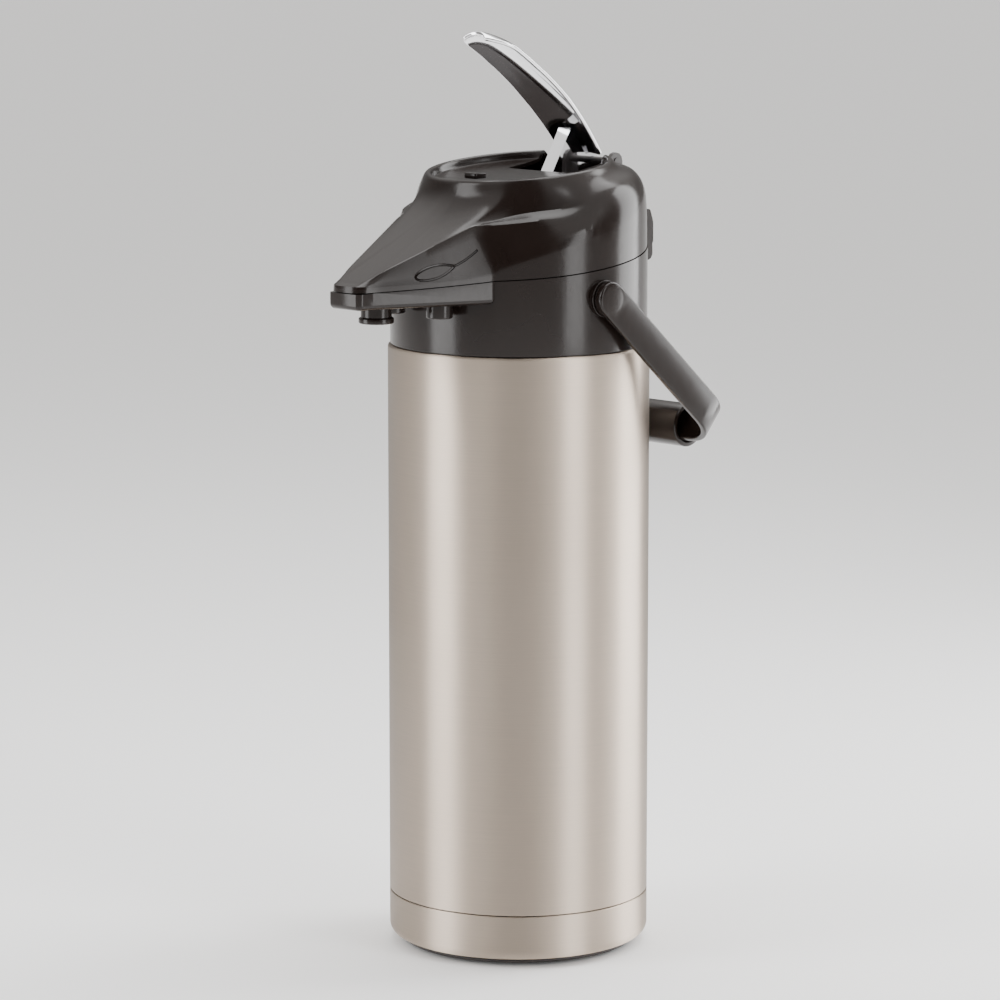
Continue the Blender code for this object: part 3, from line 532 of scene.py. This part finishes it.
def build_collar():
    thin = COLLAR_RADIUS - COLLAR_WALL
    ledge_top = COLLAR_LOW + COLLAR_WALL
    edge = 0.0009
    profile = [(COLLAR_RADIUS, COLLAR_TOP)]
    profile += list(arc((COLLAR_RADIUS - edge, COLLAR_LOW + edge), edge, 0, -90, 4))
    profile += [(COLLAR_LEDGE, COLLAR_LOW), (COLLAR_LEDGE, ledge_top), (thin, ledge_top), (thin, COLLAR_TOP)]
    collar = turned("Collar", profile)
    combine(collar, turned_cup("beak trough", 0, BEAK_FLOOR, COLLAR_TOP + 0.002), "UNION")
    for side in (-1, 1):
        profile = [(0, 0.4084), (0.0079, 0.4084)]
        profile += list(arc((0.0071, 0.3978), 0.0008, 0, -90, 4)) + [(0, 0.3970)]
        at = Matrix.Translation((side * BEAK_SCREW_SIDE, -0.0883, 0))
        combine(collar, turned(f"boss {side}", profile, 48, at, closed=False), "UNION")
    plan = beak_outline(0.0024, thin - 0.002)
    combine(collar, slab("beak inside", plan, "z", BEAK_FLOOR + 0.0028, COLLAR_TOP + 0.003))
    combine(collar, rod("nozzle hole", 0.0095, 0.39, 0.42, "z", (0, NOZZLE_BACK)))
    for side in (-1, 1):
        at = (side * BEAK_SCREW_SIDE, -0.0885)
        combine(collar, rod(f"screw hole {side}", 0.0055, 0.39, 0.4010, "z", at))
        ends = sorted((side * 0.0740, side * 0.0785))
        combine(collar, rod(f"handle pad {side}", 0.0112, *ends, "x", HANDLE_AT.yz, 64), "UNION")
        ends = sorted((side * 0.0700, side * 0.0840))
        combine(collar, rod(f"handle hole {side}", 0.0082, *ends, "x", HANDLE_AT.yz))
    reach, back, steps = 0.185, -0.100, 90
    span = [back + (reach - back) * i / steps for i in range(steps + 1)]
    line = [(-v, parting_height(v) - PARTING_GAP) for v in span]
    combine(collar, slab("parting line", line + [(-reach, 0.47), (-back, 0.47)], "x", -0.12, 0.12))
    for side in (-1, 1):
        lug = [(0.0744, 0.4055), (0.0850, 0.4100)]
        lug += list(arc(HINGE_AT, HINGE_ROUND, -20, 190, 20))
        lug += [(0.0815, 0.4175), (0.0744, 0.4175)]
        ends = sorted((side * 0.0136, side * 0.0216))
        combine(collar, slab(f"lug {side}", lug, "x", *ends), "UNION")
    combine(collar, rod("pin way", HINGE_BORE, -0.03, 0.03, "x", HINGE_AT, 24))
    settle(bake(collar), "collar")

    at = Matrix.Translation((0, NOZZLE_BACK, 0))
    profile = [(0.0092, 0.4125), (0.0092, 0.3990)]
    profile += list(arc((0.0099, 0.3979), 0.0006, 90, 0, 3))
    profile += list(arc((0.0096, 0.3960), 0.0009, 0, -70, 4))
    profile += [(0.0060, 0.3950), (0.0060, 0.4085), (0.0078, 0.4125)]
    settle(turned("Spout_nozzle", profile, 64, at), "spout_nozzle")


# Pump head


def lid_outline():
    """Half of the head's plan as (x, forward, side share); the share runs 0 to 1 up the beak's side only."""
    tip = [(0, BEAK_TIP, None), (0.0048, BEAK_TIP - 0.0002, None), (0.0085, BEAK_TIP - 0.0010, None)]
    tip += [(0.0118, BEAK_TIP - 0.0032, None), (BEAK_TIP_HALF, 0.1425, None)]
    side = []
    steps = 6
    for i in range(steps + 1):
        t = i / steps
        half = BEAK_TIP_HALF + 0.0008 + (BEAK_ROOT_HALF - BEAK_TIP_HALF - 0.0008) * t
        side.append((half, 0.1385 + (BEAK_ROOT - 0.1385) * t, t))
    start = math.degrees(math.atan2(BEAK_ROOT_HALF, BEAK_ROOT))
    around = []
    turns = 24
    for i in range(1, turns + 1):
        angle = math.radians(start + (180 - start) * i / turns)
        around.append((HEAD_RADIUS * math.sin(angle), HEAD_RADIUS * math.cos(angle), None))
    return tip + side + around


def facet_point(share, rise):
    """A point on the beak's side facet: share runs from tip to root, rise from lower edge to ridge."""
    half = BEAK_TIP_HALF + 0.0008 + (BEAK_ROOT_HALF - BEAK_TIP_HALF - 0.0008) * share
    v = 0.1385 + (BEAK_ROOT - 0.1385) * share
    low = Vector((half, -v, parting_height(v) + 0.0040))
    ridge_half = 0.0146 + (0.0330 - 0.0146) * share
    along = 0.1300 + (0.0720 - 0.1300) * share
    high = Vector((ridge_half, -along, ridge_height(along)))
    return low.lerp(high, rise)


def on_circle(x, forward, radius):
    """The point's own direction from the axis at another radius, and its angle from the spout."""
    angle = math.atan2(x, forward)
    return radius * math.sin(angle), radius * math.cos(angle), angle


def shoulder_ledge(x, forward):
    """The two edges of the leaf-shaped ledge on the shoulder, as points on the head's side."""
    u, w, angle = on_circle(x, forward, SHOULDER_RADIUS)
    turn = math.degrees(angle)
    share_up = 0.55 + 0.15 * max(0.0, -w / SHOULDER_RADIUS) - 0.27 * math.exp(-(((turn - 93) / 30) ** 2))
    edge = wall_height(w * HEAD_RADIUS / SHOULDER_RADIUS)
    middle = edge + share_up * (rim_height(w) - edge)
    swell = min(1.0, max(0.0, (turn - LEDGE_START) / (LEDGE_END - LEDGE_START)))
    width = 0.0012 + 0.0062 * math.sin(math.pi * swell) ** 0.8
    blend = min(1.0, max(0.0, (turn - CONE_START) / (CONE_END - CONE_START)))
    blend = blend * blend * (3 - 2 * blend)
    width *= 1 - blend
    points = []
    for out, drop, share in ((0.62, 0.30, 0.42), (-0.38, -0.22, 0.64)):
        radius = SHOULDER_RADIUS + out * width
        height = middle - drop * width - 0.0006 * (out > 0)
        cone_radius = HEAD_RADIUS + (0.0600 - HEAD_RADIUS) * share + 0.0022 * math.sin(math.pi * share)
        c, d, angle = on_circle(x, forward, cone_radius)
        foot = wall_height(d * HEAD_RADIUS / cone_radius)
        cone_height = foot + (rim_height(d) - 0.0035 - foot) * share + 0.0018 * math.sin(math.pi * share)
        a, b, angle = on_circle(x, forward, radius + blend * (cone_radius - radius))
        points.append((a, b, height + blend * (cone_height - height)))
    return points


def head_rings():
    """Half rings of the skin from the parting line to the recess: each is its points and its crease."""
    outline = lid_outline()
    low = [(x, v, parting_height(v) + PARTING_GAP) for x, v, share in outline]
    wall, ridge, inner_ridge, forehead = [], [], [], []
    for x, v, share in outline:
        on_beak = share is not None or v > 0.13
        if share is not None:
            low_edge = facet_point(share, 0)
            wall.append((low_edge.x, -low_edge.y, low_edge.z if share < 0.99 else low_edge.z + 0.002))
            high = facet_point(share, 1)
            ridge.append((high.x, -high.y, high.z))
            inner_ridge.append((high.x - 0.0018, -high.y, high.z + 0.0002))
        elif on_beak:
            wall.append((x * 0.995, v * 0.998, parting_height(v) + 0.004))
            height = ridge_height(v - 0.005) - 0.001
            ridge.append((x * 0.84, v - 0.0045, height))
            inner_ridge.append((x * 0.70, v - 0.0065, height + 0.0010))
        else:
            wall.append((x, v, wall_height(v)))
            outer, inner = shoulder_ledge(x, v)
            ridge.append(outer)
            inner_ridge.append(inner)
        u, w, angle = on_circle(x, v, 0.0612)
        front = max(0.0, math.cos(angle)) ** 6
        forehead.append((u, w, (1 - front) * (rim_height(w) - 0.0060 - 0.05 * max(0.0, w)) + front * 0.4575))
    rings = [(low, 1.0), (wall, 0.85), (ridge, 0.9), (inner_ridge, 0.6), (forehead, 0.0)]
    for radius, drop, crease in (
        (0.0578, 0.0016, 0.3), (0.0565, 0.0002, 0.0), (0.0553, 0.0000, 0.0), (0.0541, 0.0004, 0.3),
        (0.0532, 0.0014, 0.0), (0.0522, 0.0046, 0.5), (0.0480, 0.0056, 0.0), (0.0300, 0.0062, 0.0),
        (0.0120, 0.0062, 0.0),
    ):
        ring = []
        for x, v, share in outline:
            u, w, angle = on_circle(x, v, radius)
            ring.append((u, w, rim_height(w) - drop))
        rings.append((ring, crease))
    return rings


def head_surface():
    """The head's outer skin, mirrored across X, with its ridges creased."""
    bm = bmesh.new()
    crease_layer = bm.edges.layers.float.new("crease_edge")
    rows = []
    for half, crease in head_rings():
        loop = half + [(-x, v, z) for x, v, z in reversed(half[1:-1])]
        rows.append([bm.verts.new((x, -v, z)) for x, v, z in loop])
    count = len(rows[0])
    for below, above in zip(rows, rows[1:]):
        for i in range(count):
            j = (i + 1) % count
            bm.faces.new((below[i], above[i], above[j], below[j]))
    bm.faces.new(rows[-1])
    bm.edges.ensure_lookup_table()
    for row, (half, crease) in zip(rows, head_rings()):
        for i in range(count):
            edge = bm.edges.get((row[i], row[(i + 1) % count]))
            middle = (row[i].co + row[(i + 1) % count].co) / 2
            turn = math.degrees(math.atan2(abs(middle.x), -middle.y))
            behind = crease > 0 and turn > LEDGE_END and row in rows[1:4]
            edge[crease_layer] = 0.15 if behind else crease
    root = next(i for i, (x, v, share) in enumerate(lid_outline()) if share == 1)
    for i in (root, count - root):
        for near, far in zip(rows[:3], rows[1:4]):
            bm.edges.get((near[i], far[i]))[crease_layer] = 0.85
    bmesh.ops.recalc_face_normals(bm, faces=bm.faces[:])
    if max(bm.faces, key=lambda f: f.calc_center_median().z).normal.z < 0:
        bmesh.ops.reverse_faces(bm, faces=bm.faces[:])
    mesh = bpy.data.meshes.new("Head")
    bm.to_mesh(mesh)
    bm.free()
    return link("Head", mesh)


def drop_paths(side):
    """The groove of the drop-shaped mark on the beak's side, and the groove of its tail."""
    ring = []
    steps = 28
    for i in range(steps):
        angle = 2 * math.pi * i / steps
        reach = math.cos(angle)
        slim = 0.19 * math.sin(angle) * (1 - 0.38 * max(0.0, reach) ** 2 - 0.30 * reach)
        share = 0.52 + 0.170 * reach
        ring.append((share, 0.27 + slim + 0.35 * (share - 0.52)))
    tail = [(0.685 + 0.25 * k / 8, 0.33 + 0.22 * (k / 8) ** 1.2) for k in range(9)]
    paths = []
    for path in (ring, tail):
        points = [facet_point(share, rise) for share, rise in path]
        paths.append([Vector((side * p.x, p.y, p.z)) for p in points])
    return paths


def build_head():
    head = head_surface()
    modify(head, "SUBSURF", levels=2, render_levels=2, boundary_smooth="PRESERVE_CORNERS")
    modify(head, "SOLIDIFY", thickness=HEAD_WALL, offset=-1, use_even_offset=False)
    well = rounded([(-0.0262, 0.017), (0.0262, 0.017), (0.0262, 0.0685), (-0.0262, 0.0685)], 0.003)
    combine(head, slab("lever well", well, "z", 0.46, 0.50))
    combine(head, block("lock way", (-0.0110, -0.0365, 0.46), (0.0110, -0.0315, 0.49)))
    for side in (-1, 1):
        ring, tail = drop_paths(side)
        combine(head, tube(f"drop {side}", ring, 0.00085, closed=True))
        combine(head, tube(f"tail {side}", tail, 0.00080))
    settle(bake(head, 30), "head_shell")


# Lever, hinge cover, lock slider


def lever_point(share, across):
    """A point on the lever's upper skin, share along it and across from -1 to 1."""
    start = Vector((0, 0.057, 0.4875))
    forward = Vector((0, -math.cos(LEVER_ANGLE), math.sin(LEVER_ANGLE)))
    outward = Vector((0, math.sin(LEVER_ANGLE), math.cos(LEVER_ANGLE)))
    bulge = 0.008 * 4 * share * (1 - share)
    half = LEVER_ROOT_HALF + (LEVER_HALF - LEVER_ROOT_HALF) * min(1.0, share / 0.4)
    tip = max(0.0, (share - 0.84) / 0.16)
    half *= math.sqrt(max(0.0, 1 - 0.8 * tip ** 2))
    dish = 0.005 * across ** 2 * min(1.0, 0.3 + share)
    curl = 0.003 * tip ** 2
    lift = bulge - dish - curl
    return start + forward * (LEVER_LENGTH * share) + outward * lift + Vector((half * across, 0, 0))


def build_lever():
    bm = bmesh.new()
    along, wide = 72, 28
    rows = []
    for i in range(along + 1):
        share = i / along
        rows.append([bm.verts.new(lever_point(share, 2 * k / wide - 1)) for k in range(wide + 1)])
    for near, far in zip(rows, rows[1:]):
        for k in range(wide):
            bm.faces.new((near[k], near[k + 1], far[k + 1], far[k]))
    for face in bm.faces:
        face.normal_update()
        if face.normal.z < 0:
            face.normal_flip()
    mesh = bpy.data.meshes.new("Lever")
    bm.to_mesh(mesh)
    bm.free()
    lever = link("Lever", mesh)
    modify(lever, "SOLIDIFY", thickness=LEVER_SHEET, offset=-1)
    modify(lever, "BEVEL", width=0.0007, segments=3, limit_method="ANGLE", angle_limit=math.radians(50))
    settle(bake(lever, 40), "lever")


def build_hinge_cover():
    low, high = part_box("hinge_cover")
    foot = 0.4292
    outline = [(0.0760, foot), (high.y, foot), (high.y, 0.4425), (0.0885, high.z), (0.0760, high.z)]
    cover = slab("Hinge_cover", rounded(outline, 0.0016), "x", low.x, high.x)
    knuckle = list(arc(HINGE_AT, HINGE_ROUND, 180, 360, 24)) + [(0.0912, 0.4310), (0.0828, 0.4310)]
    knuckles = (("middle", -0.0130, 0.0130), ("left", -0.0270, -0.0226), ("right", 0.0226, 0.0270))
    for name, start, end in knuckles:
        combine(cover, slab(f"knuckle {name}", knuckle, "x", start, end), "UNION")
    combine(cover, rod("pin way", HINGE_BORE, -0.020, 0.020, "x", HINGE_AT, 24))
    combine(cover, rod("wall clearance", HEAD_RADIUS + 0.0010, 0.40, 0.48, "z", (0, 0), 160))
    settle(bake(cover), "hinge_cover")


def build_lock():
    low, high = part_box("lock_slider")
    middle = (low + high) / 2
    top = high.z
    outline = rounded([(low.x, -0.0390), (high.x, -0.0390), (high.x, -0.0290), (low.x, -0.0290)], 0.0016, 5)
    slider = slab("Lock_slider", outline, "z", 0.4752, top - 0.0002)
    modify(slider, "BEVEL", width=0.0008, segments=3, limit_method="ANGLE", angle_limit=math.radians(60))
    for k in (-1, 0, 1):
        x = middle.x + 0.0022 * k
        groove = tube(f"thumb groove {k}", [(x, -0.041, top + 0.0001), (x, -0.027, top + 0.0001)], 0.0005)
        combine(slider, groove)
    settle(bake(slider), "lock_slider")


# Carrying handle


def build_handle():
    half_thick = (HANDLE_OUTSIDE - HANDLE_INSIDE) / 2
    middle = (HANDLE_OUTSIDE + HANDLE_INSIDE) / 2
    path = [(middle, 0.006 * k, 0) for k in range(1, 16)]
    radius = HANDLE_BEND - half_thick
    far = HANDLE_REACH
    path += [(x, y, 0) for x, y in arc((middle - radius, far - radius), radius, 0, 90, 16)]
    path = [(middle, 0, 0)] + path
    path = path + [(-x, y, 0) for x, y, z in reversed(path)]
    section = rounded([(-half_thick, -HANDLE_BAND / 2), (half_thick, -HANDLE_BAND / 2),
                       (half_thick, HANDLE_BAND / 2), (-half_thick, HANDLE_BAND / 2)], 0.0012, 4)
    bm = bmesh.new()
    rows = []
    for i, point in enumerate(path):
        before, after = Vector(path[max(0, i - 1)]), Vector(path[min(len(path) - 1, i + 1)])
        ahead = (after - before).normalized()
        outward = Vector((ahead.y, -ahead.x, 0))
        base = Vector(point)
        rows.append([
            bm.verts.new(base + outward * (a - HANDLE_CROWN * (2 * b / HANDLE_BAND) ** 2 * (a > 0))
                         + Vector((0, 0, b)))
            for a, b in section
        ])
    count = len(section)
    for near, far_row in zip(rows, rows[1:]):
        for k in range(count):
            n = (k + 1) % count
            bm.faces.new((near[k], near[n], far_row[n], far_row[k]))
    bm.faces.new(rows[0])
    bm.faces.new(rows[-1])
    bail = finished("Handle_bail", bm, 40)
    place = Matrix.Translation(HANDLE_AT) @ Matrix.Rotation(-HANDLE_DROP, 4, "X")
    for side in (-1, 1):
        end = HANDLE_BAND / 2
        low = HANDLE_INSIDE - 0.0012
        edge_points = list(arc((end - 0.0012, HANDLE_OUTSIDE - 0.0012), 0.0012, 0, 90, 4))
        edge_points += [(end * k / 8, HANDLE_OUTSIDE) for k in range(6, -1, -1)]
        hub_profile = [(0, low), (end - 0.0006, low), (end, HANDLE_INSIDE)]
        hub_profile += [(r, height - HANDLE_CROWN * (r / end) ** 2) for r, height in edge_points]
        turn = Matrix.Rotation(side * math.pi / 2, 4, "Y")
        combine(bail, turned(f"hub {side}", hub_profile, 56, turn, closed=False), "UNION")
    bake(bail, 40)
    bail.data.transform(place)
    settle(bail, "handle_bail")

    grip_at = HANDLE_AT + far * Vector((0, math.cos(HANDLE_DROP), -math.sin(HANDLE_DROP)))
    lay = Matrix.Translation(grip_at) @ Matrix.Rotation(math.pi / 2, 4, "Y")
    edge = 0.0012
    corner = GRIP_OUTSIDE - edge
    profile = [(GRIP_INSIDE, GRIP_HALF)] + list(arc((corner, GRIP_HALF - edge), edge, 90, 0, 5))
    profile += list(arc((corner, edge - GRIP_HALF), edge, 0, -90, 5)) + [(GRIP_INSIDE, -GRIP_HALF)]
    settle(turned("Handle_grip", profile, 64, lay), "handle_grip")

    for side, word in ((1, "right"), (-1, "left")):
        profile = [(0.0033, 0.0805)] + list(arc((0.0090, 0.0801), 0.0004, 90, 0, 4))
        profile += [(0.0094, 0.0797)] + list(arc((0.0107, 0.0794), 0.0003, 90, 0, 4))
        profile += [(0.0110, 0.0788), (0.0078, 0.0788), (0.0078, 0.0735), (0.0033, 0.0735)]
        turn = Matrix.Translation(HANDLE_AT) @ Matrix.Rotation(side * math.pi / 2, 4, "Y")
        settle(turned(f"Handle_boss_{word}", profile, 72, turn), f"handle_boss_{word}")


# Pump inside the head


def build_pump():
    """The bellows and its spring, each with a mesh of its own."""
    low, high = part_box("bellows")[0][2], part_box("bellows")[1][2]
    back = (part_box("bellows")[0][1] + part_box("bellows")[1][1]) / 2
    folds, sheet = 4, 0.0010
    outer, inner = [], []
    for i in range(2 * folds + 1):
        height = high - (high - low) * i / (2 * folds)
        radius = 0.0242 if i % 2 else 0.0204
        outer.append((radius, height))
        inner.append((radius - sheet, height))
    seat = Matrix.Translation((0, back, 0))
    bellows = settle(turned("Bellows", outer + inner[::-1], 96, seat), "bellows")

    turns, steps, radius, wire = 5, 24, 0.013, 0.0006
    foot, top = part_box("return_spring")[0][2] + wire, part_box("return_spring")[1][2] - wire
    coil = []
    for i in range(turns * steps + 1):
        angle = 2 * math.pi * i / steps
        height = foot + (top - foot) * i / (turns * steps)
        coil.append(Vector((radius * math.cos(angle), back + radius * math.sin(angle), height)))
    spring = settle(tube("Return_spring", coil, wire), "return_spring")

    for piece in (bellows, spring):
        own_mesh(piece)


# Studio


# Softboxes that stand on the floor: angle from the camera in degrees, distance, width, height and radiance
SOFTBOXES = (
    (-70, 1.15, 0.50, 1.5, 6.2),
    (50, 1.30, 0.42, 1.5, 5.8),
    (114, 1.15, 0.66, 1.5, 7.4),
)
OVERHEAD_AT, OVERHEAD_SIZE, OVERHEAD_ENERGY = (-0.2, 0.5, 1.9), (1.4, 1.4), 26
WORLD_LEVEL = 0.25
CEILING = 1.5
# The dark part of the sky behind the camera, and the angles from it where the sky starts and ends to brighten
DARK_WALL = 0.04
DARK_FULL, DARK_OVER = math.radians(20), math.radians(32)
FLOOR_HALF = 60


def around_camera(degrees, distance, height=0.0):
    """A point at an angle from the camera's direction, positive to the right of the picture."""
    side = Vector((math.cos(VIEW_AZIMUTH), math.sin(VIEW_AZIMUTH), 0))
    away = Vector((math.sin(VIEW_AZIMUTH), -math.cos(VIEW_AZIMUTH), 0))
    turn = math.radians(degrees)
    return distance * (math.cos(turn) * away + math.sin(turn) * side) + Vector((0, 0, height))


def build_studio():
    """A sky that is brighter overhead and dark behind the camera, and the lamps."""
    world = bpy.data.worlds.new("studio")
    bpy.context.scene.world = world
    world.use_nodes = True
    tree = world.node_tree
    background = tree.nodes["Background"]
    coordinate = tree.nodes.new("ShaderNodeTexCoord")
    split = tree.nodes.new("ShaderNodeSeparateXYZ")
    tree.links.new(coordinate.outputs["Generated"], split.inputs["Vector"])
    height = tree.nodes.new("ShaderNodeMapRange")
    height.interpolation_type = "SMOOTHSTEP"
    tree.links.new(split.outputs["Z"], height.inputs["Value"])
    height.inputs["From Min"].default_value = 0.2
    height.inputs["From Max"].default_value = 0.8
    height.inputs["To Min"].default_value = WORLD_LEVEL
    height.inputs["To Max"].default_value = CEILING
    flat = tree.nodes.new("ShaderNodeCombineXYZ")
    tree.links.new(split.outputs["X"], flat.inputs["X"])
    tree.links.new(split.outputs["Y"], flat.inputs["Y"])
    level = tree.nodes.new("ShaderNodeVectorMath")
    level.operation = "NORMALIZE"
    tree.links.new(flat.outputs["Vector"], level.inputs[0])
    facing = tree.nodes.new("ShaderNodeVectorMath")
    facing.operation = "DOT_PRODUCT"
    tree.links.new(level.outputs["Vector"], facing.inputs[0])
    facing.inputs[1].default_value = around_camera(0, 1)
    dim = tree.nodes.new("ShaderNodeMapRange")
    dim.interpolation_type = "SMOOTHSTEP"
    tree.links.new(facing.outputs["Value"], dim.inputs["Value"])
    dim.inputs["From Min"].default_value = math.cos(DARK_OVER)
    dim.inputs["From Max"].default_value = math.cos(DARK_FULL)
    dim.inputs["To Min"].default_value = 1.0
    dim.inputs["To Max"].default_value = DARK_WALL
    darker = tree.nodes.new("ShaderNodeMath")
    darker.operation = "MULTIPLY"
    tree.links.new(height.outputs["Result"], darker.inputs[0])
    tree.links.new(dim.outputs["Result"], darker.inputs[1])
    tree.links.new(darker.outputs[0], background.inputs["Strength"])
    background.inputs["Color"].default_value = (1, 0.985, 0.965, 1)
    for number, (degrees, distance, width, tall, radiance) in enumerate(SOFTBOXES):
        middle = tall / 2
        at = around_camera(degrees, distance, middle)
        energy = radiance * math.pi * width * tall
        area_light(f"softbox {number}", at, (0, 0, middle), (width, tall), energy)
    area_light("overhead", OVERHEAD_AT, (0, 0, 0.3), OVERHEAD_SIZE, OVERHEAD_ENERGY)


def area_light(name, at, aim, size, energy):
    light = bpy.data.lights.new(name, "AREA")
    light.shape = "RECTANGLE"
    light.size, light.size_y = size
    light.energy = energy
    lamp = bpy.data.objects.new(name, light)
    bpy.context.scene.collection.objects.link(lamp)
    lamp.location = at
    lamp.rotation_euler = (Vector(aim) - Vector(at)).to_track_quat("-Z", "Y").to_euler()


def build_floor():
    material = bpy.data.materials.new("floor")
    material.use_nodes = True
    shader = material.node_tree.nodes["Principled BSDF"]
    shader.inputs["Base Color"].default_value = (0.92, 0.92, 0.92, 1)
    shader.inputs["Roughness"].default_value = 0.8
    shader.inputs["Emission Color"].default_value = (1, 1, 1, 1)
    shader.inputs["Emission Strength"].default_value = 0.05
    corners = [(FLOOR_HALF * x, FLOOR_HALF * y) for x, y in ((-1, -1), (1, -1), (1, 1), (-1, 1))]
    floor = slab("Floor", corners, "z", -0.02, -0.0001)
    floor.data.materials.append(material)


def place_camera():
    data = bpy.data.cameras.new("Camera")
    data.lens = CAMERA_LENS
    camera = bpy.data.objects.new("Camera", data)
    bpy.context.scene.collection.objects.link(camera)
    camera.location = around_camera(0, CAMERA_DISTANCE, CAMERA_HEIGHT)
    aim = around_camera(-90, AIM_LEFT, AIM_HEIGHT)
    camera.rotation_euler = (aim - camera.location).to_track_quat("-Z", "Y").to_euler()
    bpy.context.scene.camera = camera


finish_cad_nodes()
build_body()
build_collar()
build_head()
build_lever()
build_hinge_cover()
build_lock()
build_handle()
build_pump()
build_studio()
build_floor()
place_camera()
